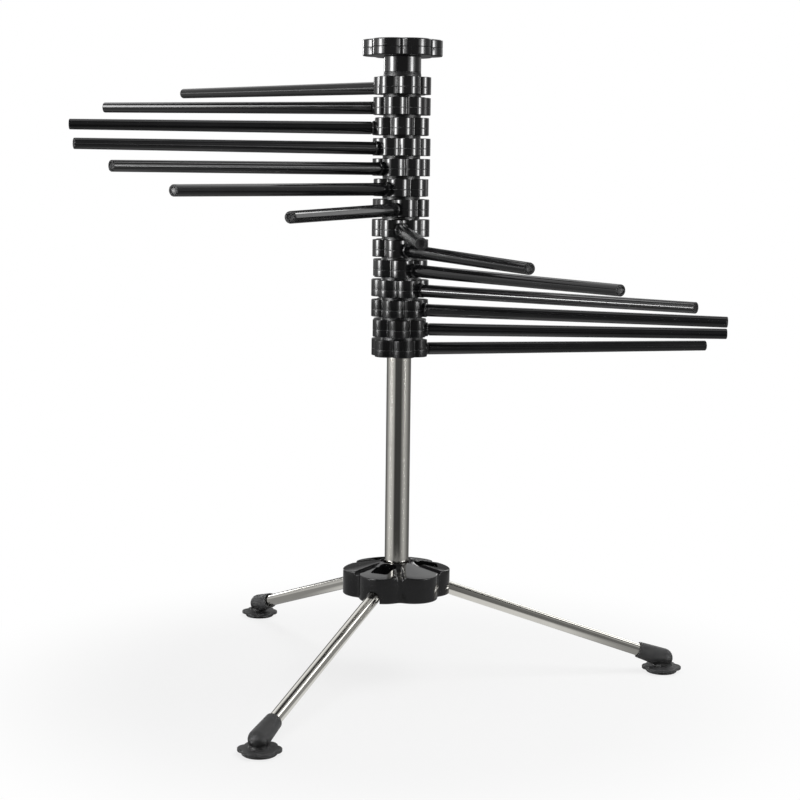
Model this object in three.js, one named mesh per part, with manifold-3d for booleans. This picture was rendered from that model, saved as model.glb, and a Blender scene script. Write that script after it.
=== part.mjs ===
// Kitchen drying rack: three folding legs, a steel pole and a stack of turning rings that each carry
// one arm, clamped from above by a lobed knob. Millimetres, +Z up, standing on z = 0.
import * as THREE from "three";
import { mergeVertices } from "three/addons/utils/BufferGeometryUtils.js";
import Module from "manifold-3d";

const wasm = await Module();
wasm.setup();

// Fits
const SEAT_GAP = 0.2; // between pieces that seat on each other
const RUNNING_GAP = 0.15; // between a shaft and what turns on it

// Pole
const POLE_DIAMETER = 16;
const POLE_WALL = 1;
const POLE_BARE_LENGTH = 137.7; // from the hub's crown to the lowest ring
const POLE_HEADROOM = 3.5; // from the pole's top end to the knob's head
const INSERT_LENGTH = 18; // plug in each end of the pole

// Stack of rings, numbered from the top
const ARM_AZIMUTHS = [138, 162, 182, 203, 219, 234, 254, 273, 289, 305, 324, 341, 358, 372];
const RING_LOBES = 6;
const RING_REACH = 18.8; // axis to the tip of a lobe
const RING_VALLEY = 14.7; // axis to the valley between two lobes
const RING_HEIGHT = 11.2;
const RING_NECK_DIAMETER = 24.4;
const RING_NECK_HEIGHT = 1.8; // from one ring's top face to the next ring's underside
const RETAINER_THICKNESS = 1; // spring clip in the pole that carries the stack
const RETAINER_REACH = 2; // how far the clip stands out of the pole
const RETAINER_GROOVE = 0.45; // depth of its groove
const RETAINER_INSET = 0.3; // from the lowest ring's underside up to the clip
const RETAINER_OPENING = 50; // degrees left open so that the clip can spring on

// Arms
const ARM_REACH = 213.6; // axis to the tip of an arm
const ARM_ROOT_DIAMETER = 8.2; // where it leaves the boss
const ARM_TIP_DIAMETER = 6.8;
const SPIGOT_DIAMETER = 7; // arm's end in the boss
const ARM_DROP = 1; // arm's axis below the middle of its ring
const ARM_END_CHAMFER = 0.6;
const ARM_END_RIM = 0.9; // flat rim around the dished end
const ARM_END_DISH = 0.5;
const SOCKET_WALL = 1.1; // boss around the spigot
const SOCKET_REACH = 19.2; // axis to the boss's end
const SOCKET_FLOOR = 0.4; // wall left behind the spigot

// Knob and its clamp
const KNOB_LOBES = 6;
const KNOB_AZIMUTH = 28; // a valley of the knob
const KNOB_REACH = 25.7;
const KNOB_VALLEY = 21.3;
const KNOB_THICKNESS = 10.4;
const KNOB_EDGE = 1.1;
const KNOB_CROWN = 1; // low dome on the head
const KNOB_CROWN_DIAMETER = 40;
const COLLAR_DIAMETER = 24;
const COLLAR_HEIGHT = 9.8;
const WASHER_THICKNESS = 1.2;
const STUD_DIAMETER = 6;
const STUD_BITE = 6; // length of the stud held in the knob's head
const STUD_REACH = 12; // length of the stud in the pole's plug

// Hub
const HUB_PETALS = 6; // one over each leg and one between each two legs
const HUB_REACH = 35.7;
const HUB_VALLEY = 29.8;
const HUB_UNDERSIDE = 56.4; // above the floor
const HUB_RIM_HEIGHT = 15.2;
const HUB_CROWN_RISE = 6.4; // the top slopes up from the rim to the pole
const HUB_BOSS_WALL = 3.25; // around the pole
const HUB_FLOOR = 2.4; // under the pole
const BRIDGE_WIDTH = 8.3; // top bar over each leg, which stops it
const SLOT_WIDTH = 12.4;
const CHANNEL_GAP = 0.4; // around a standing leg, where it leaves the hub
const COVER_THICKNESS = 2.2;
const COVER_INSET = 2.5; // from the hub's outline
const SCREW_DIAMETER = 5;
const SCREW_BITE = 12; // length of the screw in the pole's plug
const SCREW_HEAD_DIAMETER = 9;
const SCREW_HEAD_HEIGHT = 3;
const HUB_WASHER_DIAMETER = 12;
const HUB_WASHER_THICKNESS = 1;

// Legs
const LEG_COUNT = 3;
const LEG_AZIMUTH = 4.6; // first leg
const LEG_TUBE_DIAMETER = 8.5;
const LEG_TUBE_WALL = 0.9;
const KNUCKLE_DIAMETER = 8.8; // eye around the pivot pin
const KNUCKLE_RUN = 1.7; // free space between the eye and the pole's boss
const KNUCKLE_SIDE_GAP = 0.4;
const KNUCKLE_SHANK = 6.4; // pivot to the tube's end
const KNUCKLE_PLUG = 12; // length of the plug inside the tube
const PIVOT_HEIGHT = 9.1; // above the hub's underside
const PIN_DIAMETER = 3;
const PIN_LENGTH = 22;

// Feet
const FOOT_RADIUS = 183; // axis to the bend of a foot
const FOOT_BEND_HEIGHT = 9.3; // above the floor
const FOOT_SLEEVE_LENGTH = 18.6; // from the bend to the sleeve's mouth
const FOOT_MOUTH_DIAMETER = 10.8;
const FOOT_BEND_DIAMETER = 13;
const FOOT_ANKLE_DIAMETER = 11.6;
const FOOT_TUBE_DEPTH = 12; // length of the leg inside the sleeve
const PAD_LOBES = 6; // one of them points away from the hub
const PAD_REACH = 13.3;
const PAD_VALLEY = 11.5;
const PAD_THICKNESS = 3.8;
const PAD_LIFT = 1.2; // the lobes stand clear of the floor
const SOLE_DIAMETER = 20.8; // round sole below the lobes
const PAD_OFFSET = -1; // pad's middle, measured out from the bend

// Facets
const ROUND_SIDES = 24;
const RING_SIDES = 16;
const SMALL_SIDES = 12;
const LOBE_STEPS = 5;
const PAD_STEPS = 4;
const PETAL_STEPS = 5;

// Levels, from the floor up
const poleRadius = POLE_DIAMETER / 2;
const poleInner = poleRadius - POLE_WALL;
const hubRimTop = HUB_UNDERSIDE + HUB_RIM_HEIGHT;
const hubCrown = hubRimTop + HUB_CROWN_RISE;
const coverTop = HUB_UNDERSIDE + COVER_THICKNESS;
const poleSeat = coverTop + SEAT_GAP + HUB_FLOOR;
const poleBottom = poleSeat + SEAT_GAP;
const stackBottom = hubCrown + POLE_BARE_LENGTH;
const ringPitch = RING_HEIGHT + RING_NECK_HEIGHT;
const stackTop = stackBottom + ARM_AZIMUTHS.length * ringPitch;
const washerTop = stackTop + WASHER_THICKNESS;
const collarBottom = washerTop + SEAT_GAP;
const headBottom = collarBottom + COLLAR_HEIGHT;
const headTop = headBottom + KNOB_THICKNESS;
const poleTop = headBottom - POLE_HEADROOM;

// Radii and places that follow from the sizes above
const runningBore = poleRadius + RUNNING_GAP;
const retainerRadius = poleRadius + RETAINER_REACH;
const counterbore = retainerRadius + 2 * SEAT_GAP;
const counterboreDepth = RETAINER_INSET + RETAINER_THICKNESS + SEAT_GAP;
const spigotRadius = SPIGOT_DIAMETER / 2;
const socketFloor = counterbore + SOCKET_FLOOR;
const hubBoss = runningBore + HUB_BOSS_WALL;
const legRadius = LEG_TUBE_DIAMETER / 2;
const legInner = legRadius - LEG_TUBE_WALL;
const pivotRadius = hubBoss + KNUCKLE_RUN + KNUCKLE_DIAMETER / 2;
const pivotHeight = HUB_UNDERSIDE + PIVOT_HEIGHT;
const legRun = FOOT_RADIUS - pivotRadius;
const legFall = pivotHeight - FOOT_BEND_HEIGHT;
const legSlope = Math.atan2(legFall, legRun);
const legLength = Math.hypot(legRun, legFall);
const tubeEnd = legLength - FOOT_SLEEVE_LENGTH + FOOT_TUBE_DEPTH;

// A finish is a colour, a roughness and a metalness.
const glossBlack = { color: 0x16161a, roughness: 0.18, metalness: 0 };
const satinBlack = { color: 0x202124, roughness: 0.32, metalness: 0 };
const rubber = { color: 0x3a3b3c, roughness: 0.8, metalness: 0 };
const polishedSteel = { color: 0xc4c2ba, roughness: 0.14, metalness: 1 };
const zincSteel = { color: 0x9a9c9e, roughness: 0.35, metalness: 1 };
const nylon = { color: 0x2a2a2c, roughness: 0.5, metalness: 0 };

const radians = THREE.MathUtils.degToRad;

// A turned solid about Z. Its profile lists [radius, height], anticlockwise.
function turned(profile, sides = ROUND_SIDES) {
  const points = profile.map(([radius, height]) => new THREE.Vector2(radius, height));
  return new THREE.LatheGeometry(points, sides).rotateX(Math.PI / 2);
}

function disc(radius, low, high, sides = ROUND_SIDES) {
  return turned([[0, low], [radius, low], [radius, high], [0, high]], sides);
}

// A disc for cutting holes: its flats, not its corners, lie at the radius.
function drill(radius, low, high, sides = ROUND_SIDES) {
  return disc(radius / Math.cos(Math.PI / sides), low, high, sides);
}

function tube(outer, inner, low, high, sides = ROUND_SIDES) {
  return turned([[inner, low], [outer, low], [outer, high], [inner, high], [inner, low]], sides);
}

// Turns a solid made about Z so that it lies along +X.
function alongX(geometry) {
  return geometry.rotateY(Math.PI / 2);
}

// Turns a solid made about Z so that it lies along Y.
function alongY(geometry) {
  return geometry.rotateX(Math.PI / 2);
}

// A box given by its lowest and highest corners.
function block(low, high) {
  const size = high.map((value, axis) => value - low[axis]);
  const middle = high.map((value, axis) => (value + low[axis]) / 2);
  return new THREE.BoxGeometry(...size).translate(...middle);
}

// A flower outline of equal arcs. With valleyFirst a valley lies on +X, otherwise a lobe.
function flower(lobes, reach, valley, valleyFirst = false) {
  const half = Math.PI / lobes;
  const offset = (reach ** 2 - valley ** 2) / (2 * (reach - valley * Math.cos(half)));
  const radius = reach - offset;
  const spread = Math.atan2(valley * Math.sin(half), valley * Math.cos(half) - offset);
  const shape = new THREE.Shape();
  for (let lobe = 0; lobe < lobes; lobe += 1) {
    const angle = 2 * half * lobe + (valleyFirst ? half : 0);
    const x = offset * Math.cos(angle);
    const y = offset * Math.sin(angle);
    shape.absarc(x, y, radius, angle - spread, angle + spread, false);
  }
  return shape;
}

function prism(shape, low, high, curveSegments, edge = 0) {
  const options = { depth: high - low, curveSegments, steps: 1, bevelEnabled: false };
  if (edge > 0) {
    options.depth -= 2 * edge;
    options.bevelEnabled = true;
    options.bevelSegments = 1;
    options.bevelSize = edge;
    options.bevelThickness = edge;
    options.bevelOffset = -edge;
  }
  return new THREE.ExtrudeGeometry(shape, options).translate(0, 0, low + edge);
}

// A closed geometry as a solid for joining and cutting.
function solid(geometry) {
  const bare = new THREE.BufferGeometry();
  bare.setAttribute("position", geometry.getAttribute("position"));
  bare.setIndex(geometry.getIndex());
  const welded = mergeVertices(bare, 1e-4);
  const corners = welded.getIndex().array;
  const kept = [];
  for (let i = 0; i < corners.length; i += 3) {
    const [a, b, c] = corners.subarray(i, i + 3);
    if (a !== b && b !== c && c !== a) kept.push(a, b, c);
  }
  return new wasm.Manifold(
    new wasm.Mesh({
      numProp: 3,
      vertProperties: welded.getAttribute("position").array,
      triVerts: new Uint32Array(kept),
    }),
  );
}

function join(...geometries) {
  return geometries.map(solid).reduce((whole, piece) => whole.add(piece));
}

function cut(body, ...geometries) {
  return geometries.map(solid).reduce((whole, piece) => whole.subtract(piece), body);
}

// A cut solid back as a geometry.
function shaped(body) {
  const { numProp, vertProperties, triVerts } = body.getMesh();
  const positions = new Float32Array((vertProperties.length / numProp) * 3);
  for (let i = 0; i < positions.length / 3; i += 1) {
    positions.set(vertProperties.subarray(i * numProp, i * numProp + 3), i * 3);
  }
  const geometry = new THREE.BufferGeometry();
  geometry.setAttribute("position", new THREE.BufferAttribute(positions, 3));
  geometry.setIndex(new THREE.BufferAttribute(triVerts, 1));
  const faceted = geometry.toNonIndexed();
  faceted.computeVertexNormals();
  return faceted;
}

function piece(name, geometry, finish) {
  const mesh = new THREE.Mesh(geometry, new THREE.MeshStandardMaterial(finish));
  mesh.name = name;
  return mesh;
}

// Pole: a tube with a groove for the clip, and a plug in each end
function poleTube() {
  const low = stackBottom + RETAINER_INSET - SEAT_GAP / 2;
  const high = low + RETAINER_THICKNESS + SEAT_GAP;
  const groove = poleRadius - RETAINER_GROOVE;
  return turned([
    [poleInner, poleBottom],
    [poleRadius, poleBottom],
    [poleRadius, low],
    [groove, low],
    [groove, high],
    [poleRadius, high],
    [poleRadius, poleTop],
    [poleInner, poleTop],
    [poleInner, poleBottom],
  ]);
}

function poleInsert(low, high, threadDiameter) {
  const bore = (threadDiameter / 2 + SEAT_GAP) / Math.cos(Math.PI / ROUND_SIDES);
  const outer = poleInner * Math.cos(Math.PI / ROUND_SIDES) - SEAT_GAP / 2;
  return tube(outer, bore, low, high);
}

// Spring clip that carries the stack: an open ring
function retainerClip() {
  const start = radians(RETAINER_OPENING / 2);
  const inner = poleRadius - RETAINER_GROOVE + SEAT_GAP / 2;
  const shape = new THREE.Shape();
  shape.absarc(0, 0, retainerRadius, start, -start, false);
  shape.absarc(0, 0, inner, -start, start, true);
  const low = stackBottom + RETAINER_INSET;
  return prism(shape, low, low + RETAINER_THICKNESS, SMALL_SIDES);
}

// One ring, about its own middle, with its arm's socket along +X in a valley. The lowest ring is
// recessed below for the clip that carries it.
function armRing(isLowest) {
  const half = RING_HEIGHT / 2;
  const neckTop = half + RING_NECK_HEIGHT - SEAT_GAP;
  const boss = alongX(disc(spigotRadius + SOCKET_WALL, socketFloor, SOCKET_REACH, SMALL_SIDES));
  const socket = alongX(drill(spigotRadius + SEAT_GAP, socketFloor, 2 * SOCKET_REACH, SMALL_SIDES));
  const body = cut(
    join(
      prism(flower(RING_LOBES, RING_REACH, RING_VALLEY, true), -half, half, LOBE_STEPS),
      disc(RING_NECK_DIAMETER / 2, 0, neckTop, RING_SIDES),
      boss.translate(0, 0, -ARM_DROP),
    ),
    drill(runningBore, -RING_HEIGHT, RING_HEIGHT, RING_SIDES),
    socket.translate(0, 0, -ARM_DROP),
  );
  if (!isLowest) return shaped(body);
  return shaped(cut(body, drill(counterbore, -RING_HEIGHT, counterboreDepth - half, RING_SIDES)));
}

// One arm along +X: a tapered rod with a spigot in the boss and a dished end
function armRod() {
  const shoulder = SOCKET_REACH + SEAT_GAP;
  const tip = ARM_TIP_DIAMETER / 2;
  const dish = tip - ARM_END_CHAMFER - ARM_END_RIM;
  const rod = turned(
    [
      [0, socketFloor + SEAT_GAP],
      [spigotRadius, socketFloor + SEAT_GAP],
      [spigotRadius, shoulder],
      [ARM_ROOT_DIAMETER / 2, shoulder],
      [tip, ARM_REACH - ARM_END_CHAMFER],
      [tip - ARM_END_CHAMFER, ARM_REACH],
      [dish, ARM_REACH],
      [0, ARM_REACH - ARM_END_DISH],
    ],
    SMALL_SIDES,
  );
  return alongX(rod).translate(0, 0, -ARM_DROP);
}

// Knob: a lobed head over a round collar that slips over the pole's end
function knobBody() {
  const body = join(
    prism(flower(KNOB_LOBES, KNOB_REACH, KNOB_VALLEY, true), headBottom, headTop, LOBE_STEPS, KNOB_EDGE),
    disc(COLLAR_DIAMETER / 2, collarBottom, headBottom + KNOB_THICKNESS / 2),
    turned([
      [0, headBottom + KNOB_THICKNESS / 2],
      [KNOB_CROWN_DIAMETER / 2, headBottom + KNOB_THICKNESS / 2],
      [KNOB_CROWN_DIAMETER / 2, headTop],
      [KNOB_CROWN_DIAMETER / 4, headTop + 0.75 * KNOB_CROWN],
      [0, headTop + KNOB_CROWN],
    ]),
  );
  const studTop = headBottom + STUD_BITE + SEAT_GAP;
  return shaped(
    cut(
      body,
      drill(runningBore, collarBottom - COLLAR_HEIGHT, poleTop + POLE_HEADROOM / 2),
      drill(STUD_DIAMETER / 2 + SEAT_GAP / 2, collarBottom, studTop, SMALL_SIDES),
    ),
  );
}

function knobStud() {
  return disc(STUD_DIAMETER / 2, poleTop - STUD_REACH, headBottom + STUD_BITE, SMALL_SIDES);
}

function clampWasher() {
  const bore = runningBore / Math.cos(Math.PI / ROUND_SIDES);
  return tube(COLLAR_DIAMETER / 2, bore, stackTop, washerTop);
}

// Places a cutter made in the plane of the first leg at each leg in turn.
function atEachLeg(makeCutter) {
  return Array.from({ length: LEG_COUNT }, (_, leg) => makeCutter().rotateZ((2 * Math.PI * leg) / LEG_COUNT));
}

// The cutters below lie in the plane of a leg that points along +X.
function legSlot() {
  const half = SLOT_WIDTH / 2;
  const outer = HUB_REACH - BRIDGE_WIDTH;
  return block([hubBoss, -half, HUB_UNDERSIDE - HUB_RIM_HEIGHT], [outer, half, hubCrown + HUB_RIM_HEIGHT]);
}

function legChannel() {
  const half = legRadius + CHANNEL_GAP;
  const channel = block([0, -half, -2 * HUB_RIM_HEIGHT], [2 * HUB_REACH, half, 0]);
  return channel.rotateY(legSlope).translate(pivotRadius, 0, pivotHeight);
}

function legArch() {
  const arch = alongX(disc(legRadius + CHANNEL_GAP, 0, 2 * HUB_REACH, SMALL_SIDES + 2));
  return arch.rotateY(legSlope).translate(pivotRadius, 0, pivotHeight);
}

function pinSaddle() {
  const width = PIN_DIAMETER / 2 + RUNNING_GAP;
  const half = PIN_LENGTH / 2 + SEAT_GAP;
  return block([pivotRadius - width, -half, HUB_UNDERSIDE - width], [pivotRadius + width, half, pivotHeight]);
}

function pinBore() {
  const half = PIN_LENGTH / 2 + SEAT_GAP;
  const bore = alongY(drill(PIN_DIAMETER / 2 + RUNNING_GAP, -half, half, SMALL_SIDES));
  return bore.translate(pivotRadius, 0, pivotHeight);
}

// Hub: six petals under a sloping top, slotted for the legs and recessed for its cover
function hubBody() {
  const outline = flower(HUB_PETALS, HUB_REACH, HUB_VALLEY);
  const overReach = 1.2 * HUB_REACH;
  const fall = (HUB_CROWN_RISE * (overReach - hubBoss)) / (HUB_REACH - hubBoss);
  const dome = turned([
    [0, HUB_UNDERSIDE],
    [overReach, HUB_UNDERSIDE],
    [overReach, hubCrown - fall],
    [hubBoss, hubCrown],
    [0, hubCrown],
  ]);
  const petals = solid(prism(outline, HUB_UNDERSIDE, hubCrown, PETAL_STEPS)).intersect(solid(dome));
  const inset = COVER_INSET - SEAT_GAP;
  const recess = flower(HUB_PETALS, HUB_REACH - inset, HUB_VALLEY - inset);
  const body = cut(
    petals,
    prism(recess, HUB_UNDERSIDE - COVER_THICKNESS, coverTop + SEAT_GAP, PETAL_STEPS),
    drill(runningBore, poleSeat, hubCrown + HUB_RIM_HEIGHT),
    drill(SCREW_DIAMETER / 2 + SEAT_GAP, 0, hubCrown, SMALL_SIDES),
    ...atEachLeg(legSlot),
    ...atEachLeg(legChannel),
    ...atEachLeg(legArch),
    ...atEachLeg(pinSaddle),
    ...atEachLeg(pinBore),
  );
  return shaped(body);
}

// A post of the cover that closes a pin's saddle from below
function saddlePost(side) {
  const width = PIN_DIAMETER / 2 - RUNNING_GAP;
  const near = SLOT_WIDTH / 2 + SEAT_GAP;
  const far = PIN_LENGTH / 2 - SEAT_GAP;
  const [low, high] = side > 0 ? [near, far] : [-far, -near];
  const top = pivotHeight - PIN_DIAMETER / 2 - SEAT_GAP;
  return block([pivotRadius - width, low, HUB_UNDERSIDE], [pivotRadius + width, high, top]);
}

function hubCover() {
  const outline = flower(HUB_PETALS, HUB_REACH - COVER_INSET, HUB_VALLEY - COVER_INSET);
  const low = HUB_UNDERSIDE - COVER_THICKNESS;
  const half = SLOT_WIDTH / 2;
  const passage = () => block([hubBoss, -half, low], [2 * HUB_REACH, half, pivotHeight]);
  const posts = [1, -1].flatMap((side) => atEachLeg(() => saddlePost(side)));
  return shaped(
    cut(
      join(prism(outline, HUB_UNDERSIDE, coverTop, PETAL_STEPS), ...posts),
      drill(SCREW_DIAMETER / 2 + SEAT_GAP, low, pivotHeight, SMALL_SIDES),
      ...atEachLeg(passage),
    ),
  );
}

function hubWasher() {
  const high = HUB_UNDERSIDE - SEAT_GAP;
  const bore = (SCREW_DIAMETER / 2 + SEAT_GAP) / Math.cos(Math.PI / SMALL_SIDES);
  return tube(HUB_WASHER_DIAMETER / 2, bore, high - HUB_WASHER_THICKNESS, high, SMALL_SIDES);
}

function hubScrew() {
  const seat = HUB_UNDERSIDE - 2 * SEAT_GAP - HUB_WASHER_THICKNESS;
  const head = SCREW_HEAD_DIAMETER / 2;
  return turned(
    [
      [0, seat - SCREW_HEAD_HEIGHT],
      [0.7 * head, seat - SCREW_HEAD_HEIGHT],
      [head, seat - SCREW_HEAD_HEIGHT / 2],
      [head, seat],
      [SCREW_DIAMETER / 2, seat],
      [SCREW_DIAMETER / 2, poleBottom + SCREW_BITE],
      [0, poleBottom + SCREW_BITE],
    ],
    SMALL_SIDES,
  );
}

// Leg pieces along +X, with the pivot at their origin
function legTube() {
  return alongX(tube(legRadius, legInner, KNUCKLE_SHANK, tubeEnd, SMALL_SIDES + 2));
}

function legKnuckle() {
  const half = SLOT_WIDTH / 2 - KNUCKLE_SIDE_GAP;
  const shank = KNUCKLE_SHANK - SEAT_GAP;
  const plug = legInner * Math.cos(Math.PI / (SMALL_SIDES + 2)) - SEAT_GAP;
  const eye = alongY(disc(KNUCKLE_DIAMETER / 2, -half, half, SMALL_SIDES + 2));
  const body = join(
    eye,
    alongX(disc(legRadius, 0, shank, SMALL_SIDES + 2)),
    alongX(disc(plug, 0, KNUCKLE_SHANK + KNUCKLE_PLUG, SMALL_SIDES)),
  );
  const bore = alongY(drill(PIN_DIAMETER / 2 + RUNNING_GAP, -SLOT_WIDTH, SLOT_WIDTH, SMALL_SIDES));
  return shaped(cut(body, bore));
}

function pivotPin() {
  return alongY(disc(PIN_DIAMETER / 2, -PIN_LENGTH / 2, PIN_LENGTH / 2, SMALL_SIDES));
}

// Foot in the plane of its leg: a sleeve, a bend, an ankle and a flower pad on a round sole
function footBoot() {
  const bend = FOOT_BEND_DIAMETER / 2;
  const sleeve = turned([
    [0, 0],
    [bend, 0],
    [FOOT_MOUTH_DIAMETER / 2, FOOT_SLEEVE_LENGTH],
    [0, FOOT_SLEEVE_LENGTH],
  ], SMALL_SIDES + 2);
  const towardsHub = legSlope - Math.PI / 2;
  const bore = drill(
    legRadius + SEAT_GAP / 2,
    FOOT_SLEEVE_LENGTH - FOOT_TUBE_DEPTH - SEAT_GAP,
    2 * FOOT_SLEEVE_LENGTH,
    SMALL_SIDES + 2,
  );
  const seat = (geometry) => geometry.rotateY(towardsHub).translate(FOOT_RADIUS, 0, FOOT_BEND_HEIGHT);
  const ankle = turned([
    [0, 0],
    [FOOT_ANKLE_DIAMETER / 2, 0],
    [FOOT_ANKLE_DIAMETER / 2, PAD_THICKNESS],
    [bend, FOOT_BEND_HEIGHT],
    [0, FOOT_BEND_HEIGHT],
  ], SMALL_SIDES + 2);
  const elbow = new THREE.SphereGeometry(bend, SMALL_SIDES + 2, SMALL_SIDES / 2);
  const pad = prism(flower(PAD_LOBES, PAD_REACH, PAD_VALLEY), PAD_LIFT, PAD_THICKNESS, PAD_STEPS);
  const sole = disc(SOLE_DIAMETER / 2, 0, (PAD_LIFT + PAD_THICKNESS) / 2);
  const body = join(
    pad.translate(FOOT_RADIUS + PAD_OFFSET, 0, 0),
    sole.translate(FOOT_RADIUS + PAD_OFFSET, 0, 0),
    ankle.translate(FOOT_RADIUS, 0, 0),
    alongY(elbow).translate(FOOT_RADIUS, 0, FOOT_BEND_HEIGHT),
    seat(sleeve),
  );
  return shaped(cut(body, seat(bore)));
}

function poleGroup() {
  const group = new THREE.Group();
  group.add(
    piece("pole_tube", poleTube(), polishedSteel),
    piece("pole_top_insert", poleInsert(poleTop - INSERT_LENGTH, poleTop, STUD_DIAMETER), nylon),
    piece("pole_bottom_insert", poleInsert(poleBottom, poleBottom + INSERT_LENGTH, SCREW_DIAMETER), nylon),
    piece("stack_retainer", retainerClip(), zincSteel),
  );
  return group;
}

function hubGroup() {
  const group = new THREE.Group();
  group.add(
    piece("hub_body", hubBody(), satinBlack),
    piece("hub_cover", hubCover(), satinBlack),
    piece("hub_washer", hubWasher(), zincSteel),
    piece("hub_screw", hubScrew(), zincSteel),
  );
  group.rotation.z = radians(LEG_AZIMUTH);
  return group;
}

function legGroup(index) {
  const group = new THREE.Group();
  const swing = new THREE.Group();
  swing.position.set(pivotRadius, 0, pivotHeight);
  swing.rotation.y = legSlope;
  swing.add(
    piece(`leg_tube_${index + 1}`, legTube(), polishedSteel),
    piece(`leg_knuckle_${index + 1}`, legKnuckle(), nylon),
    piece(`leg_pin_${index + 1}`, pivotPin(), zincSteel),
  );
  group.add(swing, piece(`foot_boot_${index + 1}`, footBoot(), rubber));
  group.rotation.z = radians(LEG_AZIMUTH) + (2 * Math.PI * index) / LEG_COUNT;
  return group;
}

function armGroup(azimuth, index) {
  const label = String(index + 1).padStart(2, "0");
  const fromBottom = ARM_AZIMUTHS.length - 1 - index;
  const group = new THREE.Group();
  group.add(
    piece(`arm_ring_${label}`, armRing(fromBottom === 0), glossBlack),
    piece(`arm_rod_${label}`, armRod(), glossBlack),
  );
  group.position.z = stackBottom + RING_HEIGHT / 2 + fromBottom * ringPitch;
  group.rotation.z = radians(azimuth);
  return group;
}

function knobGroup() {
  const group = new THREE.Group();
  group.add(
    piece("clamp_washer", clampWasher(), nylon),
    piece("knob", knobBody(), glossBlack),
    piece("knob_stud", knobStud(), zincSteel),
  );
  group.rotation.z = radians(KNOB_AZIMUTH);
  return group;
}

// The rack is shifted so that its origin is the middle of its footprint box, on the floor.
const rack = new THREE.Group();
rack.add(poleGroup(), hubGroup(), knobGroup());
for (let leg = 0; leg < LEG_COUNT; leg += 1) rack.add(legGroup(leg));
rack.add(...ARM_AZIMUTHS.map(armGroup));
const middle = new THREE.Box3().setFromObject(rack, true).getCenter(new THREE.Vector3());
rack.position.set(-middle.x, -middle.y, 0);

const part = new THREE.Group();
part.add(rack);

export default part;
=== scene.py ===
"""Kitchen drying rack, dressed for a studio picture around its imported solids. Metres, +Z up."""

import math

import bmesh
import bpy
from mathutils import Matrix, Vector


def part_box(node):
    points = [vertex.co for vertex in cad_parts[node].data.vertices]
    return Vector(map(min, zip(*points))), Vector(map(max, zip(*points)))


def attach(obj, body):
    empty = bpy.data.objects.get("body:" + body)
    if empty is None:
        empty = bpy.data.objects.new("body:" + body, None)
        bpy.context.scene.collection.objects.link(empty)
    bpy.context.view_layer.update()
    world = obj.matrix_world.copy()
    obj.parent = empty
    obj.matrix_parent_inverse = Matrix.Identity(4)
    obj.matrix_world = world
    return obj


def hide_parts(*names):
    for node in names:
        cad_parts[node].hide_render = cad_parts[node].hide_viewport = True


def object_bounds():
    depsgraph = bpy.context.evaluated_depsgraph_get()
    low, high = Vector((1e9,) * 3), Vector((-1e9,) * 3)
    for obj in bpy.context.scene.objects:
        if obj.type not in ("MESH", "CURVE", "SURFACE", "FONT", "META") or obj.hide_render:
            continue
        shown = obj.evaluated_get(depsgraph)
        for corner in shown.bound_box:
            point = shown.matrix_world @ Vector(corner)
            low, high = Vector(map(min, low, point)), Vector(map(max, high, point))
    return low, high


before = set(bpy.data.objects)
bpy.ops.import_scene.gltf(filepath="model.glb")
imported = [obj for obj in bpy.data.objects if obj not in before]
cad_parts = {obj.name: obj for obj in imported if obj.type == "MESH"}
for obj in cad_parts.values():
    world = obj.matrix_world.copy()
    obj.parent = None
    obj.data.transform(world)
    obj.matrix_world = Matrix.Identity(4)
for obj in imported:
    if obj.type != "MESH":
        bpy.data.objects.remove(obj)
cad_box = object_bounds()

# Where the pole stands
pole_low, pole_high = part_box("pole_tube")
POLE_X = (pole_low.x + pole_high.x) / 2
POLE_Y = (pole_low.y + pole_high.y) / 2

# Pole
POLE_RADIUS = 0.008
POLE_INNER = 0.007

# Rings and arms, numbered from the top
ARM_AZIMUTHS = [138, 162, 182, 203, 219, 234, 254, 273, 289, 305, 324, 341, 358, 372]
RING_LOBES = 6
RING_REACH = 0.0188
RING_VALLEY = 0.0147
RING_HALF = 0.0056
RING_EDGE = 0.0004
RING_FILLET = 0.0008
RING_SEAM_DEPTH = 0.00006
NECK_RADIUS = 0.0122
NECK_TOP = 0.00736
RING_BORE = 0.0083
PARTING_WIDTH = 0.00028
ARM_DROP = 0.001
ARM_ROOT_RADIUS = 0.0041
ARM_TIP_RADIUS = 0.0034
ARM_START = 0.0194
ARM_REACH = 0.21359
ARM_CHAMFER = 0.0005
ARM_DISH_RADIUS = 0.0021
ARM_DISH = 0.0005
ARM_SHOULDER = 0.0003
SPIGOT_RADIUS = 0.0036
SPIGOT_PLAY = 0.0001
BOSS_RADIUS = 0.0046
BOSS_REACH = 0.0192
BOSS_CHAMFER = 0.0008
BOSS_ROOT = 0.0112

# Knob and clamp washer
KNOB_LOBES = 6
KNOB_VALLEY_AZIMUTH = 28
KNOB_REACH = 0.0257
KNOB_VALLEY = 0.0213
KNOB_FILLET = 0.0014
KNOB_EDGE = 0.0007
KNOB_SEAM_DEPTH = 0.00026
COLLAR_RADIUS = 0.012
COLLAR_BOTTOM = 0.3991
HEAD_BOTTOM = 0.4089
HEAD_TOP = 0.4193
CROWN_TOP = 0.4202
CROWN_STEPS = [(0.5, 0.8), (0.85, 0.6), (1.0, 0.3)]
COLLAR_CEILING = 0.4072
COLLAR_EDGE = 0.0006
WASHER_LOW = 0.3977
WASHER_HIGH = 0.39906

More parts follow.
